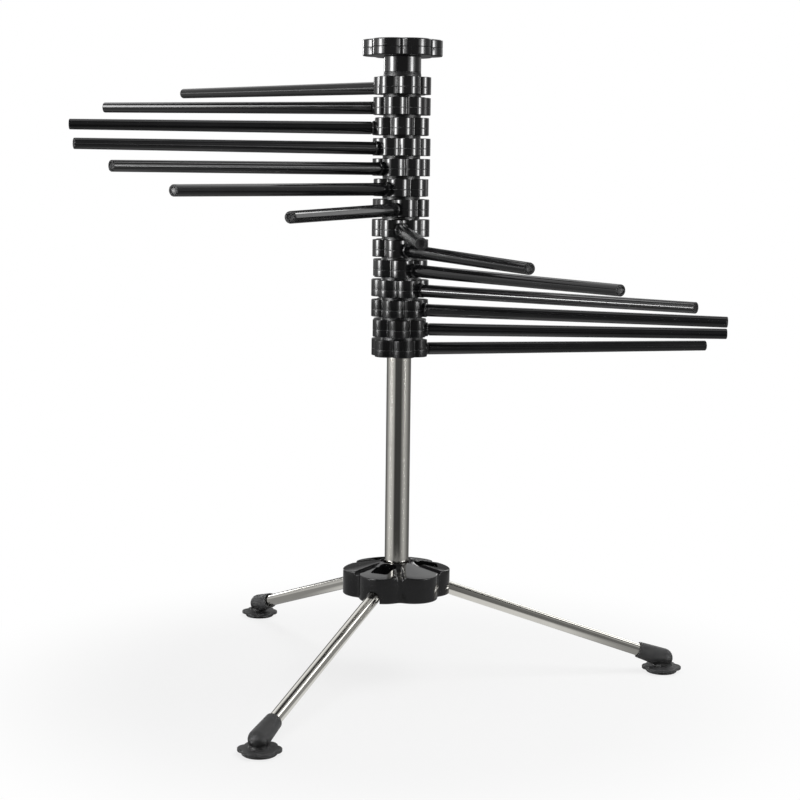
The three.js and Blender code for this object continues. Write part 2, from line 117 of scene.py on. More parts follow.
# Hub
HUB_PETALS = 6
HUB_REACH = 0.0357
HUB_VALLEY = 0.0298
HUB_FILLET = 0.0022
HUB_LOW = 0.0564
HUB_RIM = 0.0729
HUB_CROWN = 0.078
HUB_BOSS = 0.0114
HUB_LIP = 0.0105
HUB_LIP_DEPTH = 0.006
HUB_LIP_STEP = (0.0007, 0.6)
HUB_SOCKET = 0.00822
HUB_SEAT = 0.0612
HUB_RECESS = 0.0588
HUB_RECESS_SCALE = 0.94
HUB_TOP_EDGE = 0.0006
HUB_CREASE_DEPTH = 0.0021
HUB_CREASE_HALF = 0.0034
HUB_CREASE_FLOOR = 0.0014
HUB_CREASE_ONSET = 0.25
HUB_LOW_EDGE = 0.0007
SLOT_HALF = 0.0062
SLOT_CORNER = 0.002
BRIDGE_INNER = 0.0274
CHANNEL_HALF = 0.00465

# Legs
LEG_AZIMUTHS = [4.6, 124.6, 244.6]
PIVOT_RADIUS = 0.0175
PIVOT_HEIGHT = 0.0655
LEG_RADIUS = 0.00425
LEG_INNER = 0.00335
SHANK = 0.0064
SHANK_PLAY = 0.0002
EYE_RADIUS = 0.0044
EYE_HALF = 0.0058
EYE_EDGE = 0.0005
BEND_RADIUS_AT = 0.183
BEND_HEIGHT = 0.0093
SLEEVE = 0.0186
TUBE_DEPTH = 0.012
LEG_RUN = BEND_RADIUS_AT - PIVOT_RADIUS
LEG_FALL = PIVOT_HEIGHT - BEND_HEIGHT
LEG_SLOPE = math.atan2(LEG_FALL, LEG_RUN)
LEG_LENGTH = math.hypot(LEG_RUN, LEG_FALL)
TUBE_END = LEG_LENGTH - SLEEVE + TUBE_DEPTH

# Feet
SLEEVE_RADIUS = 0.0065
SLEEVE_MOUTH = 0.0054
SLEEVE_EDGE = 0.0003
SLEEVE_PLAY = 0.0001
SLEEVE_FLARE = 0.0004
SLEEVE_FLARE_DEPTH = 0.0006
SLEEVE_FLOOR_PLAY = 0.0002
ANKLE_RADIUS = 0.0058
ANKLE_FLARE = [(0.0014, 0.0), (0.0007, 0.0002), (0.0002, 0.0008), (0.0, 0.0016)]
PAD_LOBES = 6
PAD_REACH = 0.01325
PAD_VALLEY = 0.0113
PAD_FILLET = 0.0006
PAD_OFFSET = -0.001
PAD_TURN = math.radians(-8)
PAD_LIFT = 0.0017
PAD_THICKNESS = 0.0039
PAD_EDGE = 0.0006
PAD_LOW_EDGE = 0.0006
SOLE_RADIUS = 0.0104
SOLE_EDGE = 0.0004
FOOT_SEAM = 0.0002

# Small edges, shares of them and tolerances
TUBE_EDGE = 0.0002
EDGE_SHOULDER = 0.3
DISH_SHOULDER = 0.8
SAME_PLACE = 1e-7
CLOSE_ENOUGH = 1e-6
SEAM_GAP = 4e-5
SEAM_SLIVER = 2e-5
SEAM_ANGLE = math.radians(48)

# Smoothness
ROUND_STEPS = 64
ROD_STEPS = 40
LOBE_STEPS = 16
PETAL_STEPS = 16
PETAL_CUTS = 2
PAD_STEPS = 10
TOP_LOOPS = 14
RIM_STEPS = 4
DOME_STEPS = 10
VALLEY_STEPS = 5
EDGE_STEPS = 3
SOFT_EDGE_STEPS = 4
SLOT_CORNER_STEPS = 4
SEAM_STEPS = 2
SMOOTH_ANGLE = math.radians(34)
FLAT_AREA = 0.00001

# Materials. Places on a piece are in metres, strengths have no unit.
ARM_PATTERN_STEP = 0.11
LEG_PATTERN_STEP = 0.13
CUT_END = (0.0006, 0.0003)
CUT_END_MATT = 0.5
PARTING_MATT = 0.28
PARTING_EASE = 0.0001
NECK_GAP = 0.0002
# Painted shade on the feet: the sole under the flange is painted near black and the ankle above the pad
# darker, where shade falls
SOLE_EASE = 0.0002
SOLE_PAINTED_SHADE = 4.0
ANKLE_PAINTED_SHADE = 3.2
ANKLE_SHADE = (0.009, 0.0115)
ANKLE_SHADE_RISE = 0.0006
ANKLE_SHADE_OUT = (-0.009, -0.004)

# Camera
CAMERA_PLACE = (0.0, -1.139, 0.339)
CAMERA_TURN = math.radians(-0.05)
CAMERA_PITCH = math.radians(-7.64)
CAMERA_ROLL = math.radians(0.7)
CAMERA_LENS = 78.4
CAMERA_SENSOR = 36
CAMERA_NEAR = 0.01

# Studio. Directions are degrees from straight towards the camera, positive to its right.
FLOOR_RADIUS = 0.34
FLOOR_STEPS = 96
FLOOR_DROP = 0.0002
FLOOR_TONE = 0.86
FLOOR_FADE = (0.15, 0.95 * FLOOR_RADIUS)
FLOOR_WHITE = (0.8, 1.0)
# Painted pool of light: how far out and how brightly the floor glows for glossy rays
POOL = (0.1, 0.17)
POOL_LEVELS = (0.85, 0.33)
WALLS_HIGH = [
    (-180, 0.04), (-162, 0.1), (-142, 0.36), (-110, 0.7), (-88, 0.55), (-82, 1.0), (-60, 1.2),
    (-50, 0.3), (-40, 0.12), (36, 0.12), (46, 0.3), (54, 1.0), (70, 0.9), (80, 0.3), (104, 0.26),
    (124, 0.3), (146, 0.8), (162, 0.1), (180, 0.04),
]
WALLS_LOW = [
    (-180, 0.05), (-130, 0.1), (-80, 0.8), (-44, 0.5), (-28, 0.0), (24, 0.0), (65, 0.55), (115, 0.1),
    (180, 0.05),
]
WALL_BREAK = -0.072
WALL_BREAK_EASE = 0.004
WALL_TOP = (0.85, 0.6)
ROOM_LEVEL = 0.06
BACK_DEPTHS = (0.3, 0.7)
BACK_HEIGHTS = (0.25, 0.5)
BACK_LEVEL = 0.95
ZENITH_HEIGHTS = (0.93, 0.97)
ZENITH_LEVEL = 0.9
FILL_LEVEL = 0.3
WHITE = (1, 1, 1, 1)
LAMP_SIZE = (1.1, 0.8)
LAMP_PLACE = (0.6, -0.1, 1.5)
LAMP_TARGET = (POLE_X, POLE_Y, 0.26)
LAMP_ENERGY = 13.0
ROOM_LIGHTS = {
    "left strip": {"around": (-75, -65), "heights": (-0.055, 0.1), "ease": (9, 0.01), "level": 20.0},
    "left glow": {"around": (-80, -60), "heights": (-0.055, 0.1), "ease": (26, 0.01), "level": 3.0},
    "left panel": {"around": (-58, -46), "heights": (0.15, 0.62), "ease": (3, 0.05), "level": 13.0},
    "left loft": {"around": (-135, -98), "heights": (0.85, 0.89), "ease": (6, 0.015), "level": 4.0},
    "left beam": {"around": (-180, -158), "heights": (0.7, 0.85), "ease": (4, 0.03), "level": 0.5},
    "left slit": {"around": (-154, -147), "heights": (0.06, 0.17), "ease": (2, 0.03), "level": 10.0},
    "right strip": {"around": (57, 65), "heights": (-0.055, 0.1), "ease": (7, 0.01), "level": 16.0},
    "right glow": {"around": (52, 68), "heights": (-0.055, 0.1), "ease": (24, 0.01), "level": 2.5},
    "right shelf": {"around": (66, 84), "heights": (0.27, 0.36), "ease": (4, 0.03), "level": 5.0},
    "right loft": {"around": (100, 110), "heights": (0.77, 0.85), "ease": (4, 0.015), "level": 4.0},
    "right attic": {"around": (105, 113), "heights": (0.57, 0.73), "ease": (3, 0.02), "level": 3.0},
    "right beam": {"around": (117, 140), "heights": (0.75, 0.87), "ease": (6, 0.02), "level": 0.5},
    "right window": {"around": (153, 164), "heights": (0.3, 0.44), "ease": (3, 0.04), "level": 3.0},
}


# Shapes
def profile_chain(mesh, points):
    """A chain of edges in the XZ plane through (radius, height) points."""
    chain = [mesh.verts.new((radius, 0, height)) for radius, height in points]
    links = [mesh.edges.new(pair) for pair in zip(chain, chain[1:])]
    return chain + links


def turned(mesh, points, steps=ROUND_STEPS):
    """A turned solid about Z from a profile that starts and ends on the axis or closes on itself."""
    before = set(mesh.verts)
    geom = profile_chain(mesh, points)
    bmesh.ops.spin(mesh, geom=geom, cent=(0, 0, 0), axis=(0, 0, 1), angle=2 * math.pi, steps=steps,
                   use_merge=True)
    fresh = [vert for vert in mesh.verts if vert not in before]
    bmesh.ops.remove_doubles(mesh, verts=fresh, dist=SAME_PLACE)
    return [vert for vert in mesh.verts if vert not in before]


def flower_face(mesh, lobes, reach, valley, fillet, steps, height, first):
    """A flat flower of equal arcs with one valley or lobe set by first, its valleys rounded."""
    half = math.pi / lobes
    offset = (reach ** 2 - valley ** 2) / (2 * (reach - valley * math.cos(half)))
    radius = reach - offset
    spread = math.atan2(valley * math.sin(half), valley * math.cos(half) - offset)
    for lobe in range(lobes):
        angle = first + 2 * half * lobe
        centre = Vector((offset * math.cos(angle), offset * math.sin(angle), height))
        start = centre + radius * Vector((math.cos(angle - spread), math.sin(angle - spread), 0))
        seed = mesh.verts.new(start)
        bmesh.ops.spin(mesh, geom=[seed], cent=centre, axis=(0, 0, 1), angle=2 * spread, steps=steps)
    bmesh.ops.remove_doubles(mesh, verts=mesh.verts[:], dist=CLOSE_ENOUGH)
    bmesh.ops.contextual_create(mesh, geom=mesh.edges[:])
    corners = [vert for vert in mesh.verts if vert.co.xy.length < valley + CLOSE_ENOUGH]
    bmesh.ops.bevel(mesh, geom=corners, offset=fillet, offset_type="OFFSET", affect="VERTICES",
                    segments=VALLEY_STEPS, profile=0.5, material=-1)
    outline = mesh.edges[:]
    bmesh.ops.delete(mesh, geom=mesh.faces[:], context="FACES_ONLY")
    return outline


def extend(mesh, loop, move):
    """Extrudes a closed loop of edges and puts each new corner where move sends it."""
    made = bmesh.ops.extrude_edge_only(mesh, edges=loop)["geom"]
    corners = {item for item in made if isinstance(item, bmesh.types.BMVert)}
    for corner in corners:
        corner.co = move(corner.co.copy())
    edges = [item for item in made if isinstance(item, bmesh.types.BMEdge)]
    return [edge for edge in edges if corners.issuperset(edge.verts)]


def at_height(height, scale=1.0):
    return lambda place: Vector((place.x * scale, place.y * scale, height))


def on_circle(radius, height):
    def move(place):
        flat = Vector((place.x, place.y, 0)).normalized() * radius
        return Vector((flat.x, flat.y, height))
    return move


def close(mesh, loop):
    bmesh.ops.contextual_create(mesh, geom=loop)


def round_edges(mesh, chosen, width, segments):
    bmesh.ops.recalc_face_normals(mesh, faces=mesh.faces[:])
    bmesh.ops.bevel(mesh, geom=chosen, offset=width, offset_type="OFFSET", affect="EDGES",
                    segments=segments, profile=0.5, material=-1, clamp_overlap=True)


def edges_at(mesh, height, least_radius, most_radius=1.0):
    """The edges that lie at one height, between two distances from the axis."""
    def fits(vert):
        return abs(vert.co.z - height) < CLOSE_ENOUGH and least_radius < vert.co.xy.length < most_radius
    return [edge for edge in mesh.edges if all(fits(vert) for vert in edge.verts)]


def wall_with_parting(mesh, loop, high, parting, inside):
    """A wall up from a loop, drawn in to a share at the parting line of the mould."""
    loop = extend(mesh, loop, at_height(parting - PARTING_WIDTH))
    loop = extend(mesh, loop, at_height(parting, inside))
    loop = extend(mesh, loop, at_height(parting + PARTING_WIDTH, 1 / inside))
    return extend(mesh, loop, at_height(high))


def finished(mesh):
    """Closes seams, turns the faces outwards and gives the mesh its smooth shading."""
    bmesh.ops.remove_doubles(mesh, verts=mesh.verts[:], dist=SAME_PLACE)
    bmesh.ops.recalc_face_normals(mesh, faces=mesh.faces[:])
    for face in mesh.faces:
        face.smooth = len(face.verts) <= 4 or face.calc_area() < FLAT_AREA
    data = bpy.data.meshes.new("shape")
    mesh.to_mesh(data)
    mesh.free()
    data.set_sharp_from_angle(angle=SMOOTH_ANGLE)
    return data


def keep_own_place(data, shift):
    """Stores where each corner lies on the piece itself, so that a pattern follows the piece."""
    own = data.attributes.new("own_place", "FLOAT_VECTOR", "POINT")
    for corner, entry in zip(data.vertices, own.data):
        entry.vector = corner.co + Vector(shift)


def dress(name, data, place, body, material, slot, *nodes, shift=(0, 0, 0)):
    """Makes a piece from a mesh, puts it in place, and has it ride on a body for its nodes."""
    keep_own_place(data, shift)
    data.transform(place)
    data.name = name
    data.materials.append(material)
    piece = bpy.data.objects.new(name, data)
    bpy.context.scene.collection.objects.link(piece)
    even = piece.modifiers.new("even walls", "WEIGHTED_NORMAL")
    even.keep_sharp = True
    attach(piece, body)
    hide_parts(*nodes)
    return piece


def at_pole(height=0.0, azimuth=0.0):
    return Matrix.Translation((POLE_X, POLE_Y, height)) @ Matrix.Rotation(math.radians(azimuth), 4, "Z")


# Pieces
def ring_shape():
    """A lobed ring about its own middle. Its arm's boss lies along +X, in a valley."""
    mesh = bmesh.new()
    first = math.pi / RING_LOBES
    foot = flower_face(mesh, RING_LOBES, RING_REACH, RING_VALLEY, RING_FILLET, LOBE_STEPS,
                       -RING_HALF, first)
    loop = wall_with_parting(mesh, foot, RING_HALF, -ARM_DROP, 1 - RING_SEAM_DEPTH / RING_REACH)
    loop = extend(mesh, loop, on_circle(NECK_RADIUS, RING_HALF))
    loop = extend(mesh, loop, on_circle(NECK_RADIUS, NECK_TOP))
    loop = extend(mesh, loop, on_circle(RING_BORE, NECK_TOP))
    loop = extend(mesh, loop, on_circle(RING_BORE, -RING_HALF))
    bmesh.ops.bridge_loops(mesh, edges=loop + foot)
    round_edges(mesh, edges_at(mesh, RING_HALF, RING_VALLEY - RING_FILLET), RING_EDGE, EDGE_STEPS)
    round_edges(mesh, edges_at(mesh, -RING_HALF, RING_VALLEY - RING_FILLET), RING_EDGE, EDGE_STEPS)
    boss = turned(mesh, [
        (0, BOSS_ROOT),
        (BOSS_RADIUS, BOSS_ROOT),
        (BOSS_RADIUS, BOSS_REACH - BOSS_CHAMFER),
        (BOSS_RADIUS - BOSS_CHAMFER / 2, BOSS_REACH - BOSS_CHAMFER / 3),
        (BOSS_RADIUS - BOSS_CHAMFER, BOSS_REACH),
        (SPIGOT_RADIUS, BOSS_REACH),
        (SPIGOT_RADIUS, BOSS_REACH - BOSS_CHAMFER),
        (0, BOSS_REACH - BOSS_CHAMFER),
    ], ROD_STEPS)
    lay = Matrix.Translation((0, 0, -ARM_DROP)) @ Matrix.Rotation(math.pi / 2, 4, "Y")
    bmesh.ops.transform(mesh, matrix=lay, verts=boss)
    return finished(mesh)


def rod_shape():
    """A tapered rod along Z, with a spigot at its root and a chamfered, dished end."""
    mesh = bmesh.new()
    turned(mesh, [
        (0, BOSS_ROOT),
        (SPIGOT_RADIUS - SPIGOT_PLAY, BOSS_ROOT),
        (SPIGOT_RADIUS - SPIGOT_PLAY, ARM_START),
        (ARM_ROOT_RADIUS - ARM_SHOULDER, ARM_START),
        (ARM_ROOT_RADIUS, ARM_START + ARM_SHOULDER),
        (ARM_TIP_RADIUS, ARM_REACH - ARM_CHAMFER),
        (ARM_TIP_RADIUS - EDGE_SHOULDER * ARM_CHAMFER, ARM_REACH - EDGE_SHOULDER * ARM_CHAMFER),
        (ARM_TIP_RADIUS - ARM_CHAMFER, ARM_REACH),
        (ARM_DISH_RADIUS, ARM_REACH),
        (DISH_SHOULDER * ARM_DISH_RADIUS, ARM_REACH - DISH_SHOULDER * ARM_DISH),
        (0, ARM_REACH - ARM_DISH),
    ], ROD_STEPS)
    return finished(mesh)


def knob_shape():
    """The lobed head over its collar, hollow where the pole's end goes in."""
    mesh = bmesh.new()
    first = math.pi / KNOB_LOBES
    foot = flower_face(mesh, KNOB_LOBES, KNOB_REACH, KNOB_VALLEY, KNOB_FILLET, LOBE_STEPS,
                       HEAD_BOTTOM, first)
    parting = (HEAD_BOTTOM + HEAD_TOP) / 2
    top = wall_with_parting(mesh, foot, HEAD_TOP, parting, 1 - KNOB_SEAM_DEPTH / KNOB_REACH)
    for rise, scale in CROWN_STEPS:
        top = extend(mesh, top, at_height(HEAD_TOP + rise * (CROWN_TOP - HEAD_TOP), scale))
    close(mesh, top)
    low = extend(mesh, foot, on_circle(COLLAR_RADIUS, HEAD_BOTTOM))
    low = extend(mesh, low, on_circle(COLLAR_RADIUS, COLLAR_BOTTOM))
    low = extend(mesh, low, on_circle(RING_BORE, COLLAR_BOTTOM))
    low = extend(mesh, low, on_circle(RING_BORE, COLLAR_CEILING))
    close(mesh, low)
    rim = KNOB_VALLEY - KNOB_FILLET
    round_edges(mesh, edges_at(mesh, HEAD_TOP, rim), KNOB_EDGE, SOFT_EDGE_STEPS)
    round_edges(mesh, edges_at(mesh, HEAD_BOTTOM, rim), KNOB_EDGE, SOFT_EDGE_STEPS)
    neck = edges_at(mesh, HEAD_BOTTOM, 0, COLLAR_RADIUS + COLLAR_EDGE)
    round_edges(mesh, neck, COLLAR_EDGE, EDGE_STEPS)
    return finished(mesh)


def washer_shape():
    return tube_shape(COLLAR_RADIUS, RING_BORE, WASHER_LOW, WASHER_HIGH)


def tube_shape(outer, inner, low, high):
    """A tube along Z with its outer edges broken."""
    mesh = bmesh.new()
    turned(mesh, [
        (inner, low),
        (outer - TUBE_EDGE, low),
        (outer, low + TUBE_EDGE),
        (outer, high - TUBE_EDGE),
        (outer - TUBE_EDGE, high),
        (inner, high),
        (inner, low),
    ])
    return finished(mesh)


def hub_top(place):
    """Height of the hub's top: a slope down from the boss, with a crease along each valley."""
    radius = place.xy.length
    share = (radius - HUB_BOSS) / (HUB_REACH - HUB_BOSS)
    step = math.tau / HUB_PETALS
    angle = math.atan2(place.y, place.x) - math.radians(LEG_AZIMUTHS[0])
    aside = abs(radius * math.sin(angle % step - step / 2))
    slope = (HUB_CREASE_HALF - aside) / (HUB_CREASE_HALF - HUB_CREASE_FLOOR)
    slope = max(0.0, min(1.0, slope))
    depth = HUB_CREASE_DEPTH * min(1, share / HUB_CREASE_ONSET) * slope * slope * (3 - 2 * slope)
    return HUB_CROWN - share * (HUB_CROWN - HUB_RIM) - depth


def rim_step(turn):
    """A move that rolls the hub's wall over into its top, by a share of a quarter turn."""
    def move(place):
        inset = HUB_TOP_EDGE * (1 - math.cos(turn * math.pi / 2))
        drop = HUB_TOP_EDGE * (1 - math.sin(turn * math.pi / 2))
        flat = place.xy * (1 - inset / place.xy.length)
        return Vector((flat.x, flat.y, hub_top(place) - drop))
    return move


def top_step(share):
    """A move towards the boss by a share of the way, along the hub's top."""
    def move(place):
        radius = place.xy.length
        flat = place.xy * ((radius + share * (HUB_BOSS - radius)) / radius)
        return Vector((flat.x, flat.y, hub_top(flat.to_3d())))
    return move


def slot_cutters():
    """Blocks that cut the leg slots right through the hub, with rounded corners."""
    mesh = bmesh.new()
    depth = 2 * (HUB_CROWN - HUB_LOW)
    for azimuth in LEG_AZIMUTHS:
        before = set(mesh.verts)
        bmesh.ops.create_cube(mesh, size=1.0)
        block = [vert for vert in mesh.verts if vert not in before]
        bmesh.ops.scale(mesh, vec=(BRIDGE_INNER - HUB_BOSS, 2 * SLOT_HALF, depth), verts=block)
        upright = [edge for edge in mesh.edges if edge.verts[0] not in before
                   and abs(edge.verts[0].co.z - edge.verts[1].co.z) > depth / 2]
        round_edges(mesh, upright, SLOT_CORNER, SLOT_CORNER_STEPS)
        block = [vert for vert in mesh.verts if vert not in before]
        middle = Matrix.Translation(((BRIDGE_INNER + HUB_BOSS) / 2, 0, (HUB_LOW + HUB_CROWN) / 2))
        turn = Matrix.Rotation(math.radians(azimuth), 4, "Z")
        bmesh.ops.transform(mesh, matrix=turn @ middle, verts=block)
    return mesh


def channel_cutters():
    """Arched blocks that clear each leg below its bridge, in line with the standing leg."""
    mesh = bmesh.new()
    depth = 2 * (HUB_RIM - HUB_LOW)
    lay = Matrix.Rotation(math.pi / 2, 4, "Z") @ Matrix.Rotation(math.pi / 2, 4, "X")
    for azimuth in LEG_AZIMUTHS:
        disc = bmesh.ops.create_circle(mesh, cap_ends=True, segments=ROD_STEPS, radius=CHANNEL_HALF)
        arch = disc["verts"]
        lower = [vert for vert in arch if vert.co.y < -CLOSE_ENOUGH]
        bmesh.ops.translate(mesh, vec=(0, -depth, 0), verts=lower)
        grown = bmesh.ops.extrude_face_region(mesh, geom=arch[0].link_faces[:])["geom"]
        far = [item for item in grown if isinstance(item, bmesh.types.BMVert)]
        bmesh.ops.translate(mesh, vec=(0, 0, 2 * HUB_REACH), verts=far)
        place = leg_place(azimuth, around_pole=False) @ lay
        bmesh.ops.transform(mesh, matrix=place, verts=arch + far)
    return mesh


def leg_place(azimuth, around_pole=True):
    """The frame of a standing leg: its origin at the pivot and +X out along the tube."""
    turn = Matrix.Rotation(math.radians(azimuth), 4, "Z")
    swing = Matrix.Translation((PIVOT_RADIUS, 0, PIVOT_HEIGHT)) @ Matrix.Rotation(LEG_SLOPE, 4, "Y")
    root = Matrix.Translation((POLE_X, POLE_Y, 0)) if around_pole else Matrix.Identity(4)
    return root @ turn @ swing


def combined(data, mesh, operation):
    """The mesh data with another mesh taken out of it or joined to it."""
    other = finished(mesh)
    body = bpy.data.objects.new("body", data)
    tool = bpy.data.objects.new("tool", other)
    for item in (body, tool):
        bpy.context.scene.collection.objects.link(item)
    change = body.modifiers.new("change", "BOOLEAN")
    change.operation = operation
    change.solver = "EXACT"
    change.object = tool
    graph = bpy.context.evaluated_depsgraph_get()
    result = bpy.data.meshes.new_from_object(body.evaluated_get(graph))
    for item in (body, tool):
        bpy.data.objects.remove(item)
    return result


def opened(data):
    """The mesh data, ready for edits."""
    mesh = bmesh.new()
    mesh.from_mesh(data)
    return mesh


def soften(data, width):
    """The mesh data with the seams between its joined forms rounded."""
    mesh = opened(data)
    bmesh.ops.remove_doubles(mesh, verts=mesh.verts[:], dist=SEAM_GAP)
    bmesh.ops.dissolve_degenerate(mesh, edges=mesh.edges[:], dist=SEAM_SLIVER)
    sharp = [edge for edge in mesh.edges if edge.is_manifold and edge.calc_face_angle(0) > SEAM_ANGLE]
    round_edges(mesh, sharp, width, SEAM_STEPS)
    return finished(mesh)


def hub_shape():
    """Six petals under a sloping top, with the legs' slots and a countersunk hole for the pole."""
    mesh = bmesh.new()
    first = math.radians(LEG_AZIMUTHS[0])
    outline = flower_face(mesh, HUB_PETALS, HUB_REACH, HUB_VALLEY, HUB_FILLET, PETAL_STEPS,
                          HUB_LOW, first)
    bmesh.ops.subdivide_edges(mesh, edges=outline, cuts=PETAL_CUTS)
    foot = mesh.edges[:]
    top = foot
    for step in range(RIM_STEPS + 1):
        top = extend(mesh, top, rim_step(step / RIM_STEPS))
    for step in range(TOP_LOOPS):
        top = extend(mesh, top, top_step(1 / (TOP_LOOPS - step)))
    top = extend(mesh, top, on_circle(HUB_LIP, HUB_CROWN))
    inset, share = HUB_LIP_STEP
    top = extend(mesh, top, on_circle(HUB_LIP - inset, HUB_CROWN - share * HUB_LIP_DEPTH))
    top = extend(mesh, top, on_circle(HUB_SOCKET, HUB_CROWN - HUB_LIP_DEPTH))
    top = extend(mesh, top, on_circle(HUB_SOCKET, HUB_SEAT))
    close(mesh, top)
    low = extend(mesh, foot, at_height(HUB_LOW, HUB_RECESS_SCALE))
    low = extend(mesh, low, at_height(HUB_RECESS))
    close(mesh, low)
    round_edges(mesh, foot, HUB_LOW_EDGE, EDGE_STEPS)
    data = combined(finished(mesh), slot_cutters(), "DIFFERENCE")
    data = combined(data, channel_cutters(), "DIFFERENCE")
    return finished(opened(data))


def knuckle_shape():
    """The eye around the pivot pin and the shank that carries the tube, along +X."""
    mesh = bmesh.new()
    eye = turned(mesh, [
        (0, -EYE_HALF),
        (EYE_RADIUS - EYE_EDGE, -EYE_HALF),
        (EYE_RADIUS, EYE_EDGE - EYE_HALF),
        (EYE_RADIUS, EYE_HALF - EYE_EDGE),
        (EYE_RADIUS - EYE_EDGE, EYE_HALF),
        (0, EYE_HALF),
    ], ROD_STEPS)
    bmesh.ops.transform(mesh, matrix=Matrix.Rotation(math.pi / 2, 4, "X"), verts=eye)
    end = SHANK - SHANK_PLAY
    shank = turned(mesh, [(0, 0), (LEG_RADIUS, 0), (LEG_RADIUS, end), (0, end)], ROD_STEPS)
    bmesh.ops.transform(mesh, matrix=Matrix.Rotation(math.pi / 2, 4, "Y"), verts=shank)
    return finished(mesh)


def pad_shape():
    """The lobed flange of a foot, one lobe about along the leg, with rounded edges."""
    mesh = bmesh.new()
    foot = flower_face(mesh, PAD_LOBES, PAD_REACH, PAD_VALLEY, PAD_FILLET, PAD_STEPS, PAD_LIFT, PAD_TURN)
    top = extend(mesh, foot, at_height(PAD_THICKNESS))
    close(mesh, foot)
    close(mesh, top)
    round_edges(mesh, edges_at(mesh, PAD_THICKNESS, 0), PAD_EDGE, SOFT_EDGE_STEPS)
    round_edges(mesh, edges_at(mesh, PAD_LIFT, 0), PAD_LOW_EDGE, EDGE_STEPS)
    bmesh.ops.translate(mesh, vec=(PAD_OFFSET, 0, 0), verts=mesh.verts[:])
    return finished(mesh)


def sole_shape():
    """The round sole that stands on the floor, under the flange."""
    mesh = bmesh.new()
    turned(mesh, [
        (0, 0),
        (SOLE_RADIUS - SOLE_EDGE, 0),
        (SOLE_RADIUS, SOLE_EDGE),
        (SOLE_RADIUS, PAD_LIFT + SOLE_EDGE),
        (0, PAD_LIFT + SOLE_EDGE),
    ], ROD_STEPS)
    bmesh.ops.translate(mesh, vec=(PAD_OFFSET, 0, 0), verts=mesh.verts[:])
    return mesh


def ankle_shape():
    """The short neck between a pad and its sleeve, flared where it meets the pad."""
    mesh = bmesh.new()
    root = PAD_THICKNESS / 2
    profile = [(0, root), (ANKLE_RADIUS + ANKLE_FLARE[0][0], root)]
    profile += [(ANKLE_RADIUS + out, PAD_THICKNESS + rise) for out, rise in ANKLE_FLARE]
    profile += [(ANKLE_RADIUS, BEND_HEIGHT), (0, BEND_HEIGHT)]
    turned(mesh, profile, ROD_STEPS)
    return mesh


def sleeve_shape():
    """The round-ended sleeve that takes the leg's tube, laid along the leg."""
    mesh = bmesh.new()
    dome = [step / DOME_STEPS * math.pi / 2 for step in range(DOME_STEPS)]
    profile = [(SLEEVE_RADIUS * math.sin(turn), -SLEEVE_RADIUS * math.cos(turn)) for turn in dome]
    profile += [
        (SLEEVE_RADIUS, 0),
        (SLEEVE_MOUTH, SLEEVE - SLEEVE_EDGE),
        (SLEEVE_MOUTH - EDGE_SHOULDER * SLEEVE_EDGE, SLEEVE - EDGE_SHOULDER * SLEEVE_EDGE),
        (SLEEVE_MOUTH - SLEEVE_EDGE, SLEEVE),
        (LEG_RADIUS + SLEEVE_FLARE, SLEEVE),
        (LEG_RADIUS + SLEEVE_PLAY, SLEEVE - SLEEVE_FLARE_DEPTH),
        (LEG_RADIUS + SLEEVE_PLAY, SLEEVE - TUBE_DEPTH - SLEEVE_FLOOR_PLAY),
        (0, SLEEVE - TUBE_DEPTH - SLEEVE_FLOOR_PLAY),
    ]
    turned(mesh, profile, ROD_STEPS)
    lay = Matrix.Translation((0, 0, BEND_HEIGHT)) @ Matrix.Rotation(LEG_SLOPE - math.pi / 2, 4, "Y")
    bmesh.ops.transform(mesh, matrix=lay, verts=mesh.verts[:])
    return mesh


def foot_shape():
    """A rubber foot in the plane of its leg, about the bend above its pad."""
    data = combined(pad_shape(), sole_shape(), "UNION")
    data = combined(data, ankle_shape(), "UNION")
    return soften(combined(data, sleeve_shape(), "UNION"), FOOT_SEAM)


# Materials
def add_node(tree, kind, name, settings=None, inputs=None):
    node = tree.nodes.new(kind)
    node.name = name
    node.label = name
    for key, value in (settings or {}).items():
        setattr(node, key, value)
    for key, value in (inputs or {}).items():
        node.inputs[key].default_value = value
    return node


def new_group(name, inputs, outputs):
    """A shader node group with named sockets, and its input and output nodes."""
    group = bpy.data.node_groups.new(name, "ShaderNodeTree")
    for label, kind, value in inputs:
        socket = group.interface.new_socket(name=label, in_out="INPUT", socket_type=kind)
        if value is not None:
            socket.default_value = value
    for label in outputs:
        group.interface.new_socket(name=label, in_out="OUTPUT", socket_type="NodeSocketFloat")
    entry = add_node(group, "NodeGroupInput", "entry")
    result = add_node(group, "NodeGroupOutput", "result")
    return group, entry, result


def moulded_skin_group():
    """Fine moulded grain as a height, and slow clouds for small changes of tone."""
    group, entry, result = new_group(
        "moulded_skin",
        [("Place", "NodeSocketVector", None), ("Grain", "NodeSocketFloat", 900.0),
         ("Clouds", "NodeSocketFloat", 60.0)],
        ["Height", "Tone"],
    )
    grain = add_node(group, "ShaderNodeTexNoise", "grain", inputs={"Detail": 3.0, "Roughness": 0.55})
    clouds = add_node(group, "ShaderNodeTexNoise", "clouds", inputs={"Detail": 2.0, "Roughness": 0.5})
    spread = add_node(group, "ShaderNodeMapRange", "spread", inputs={"From Min": 0.3, "From Max": 0.7})
    link = group.links.new
    link(entry.outputs["Place"], grain.inputs["Vector"])
    link(entry.outputs["Grain"], grain.inputs["Scale"])
    link(entry.outputs["Place"], clouds.inputs["Vector"])
    link(entry.outputs["Clouds"], clouds.inputs["Scale"])
    link(clouds.outputs["Fac"], spread.inputs["Value"])
    link(grain.outputs["Fac"], result.inputs["Height"])
    link(spread.outputs["Result"], result.inputs["Tone"])
    return group


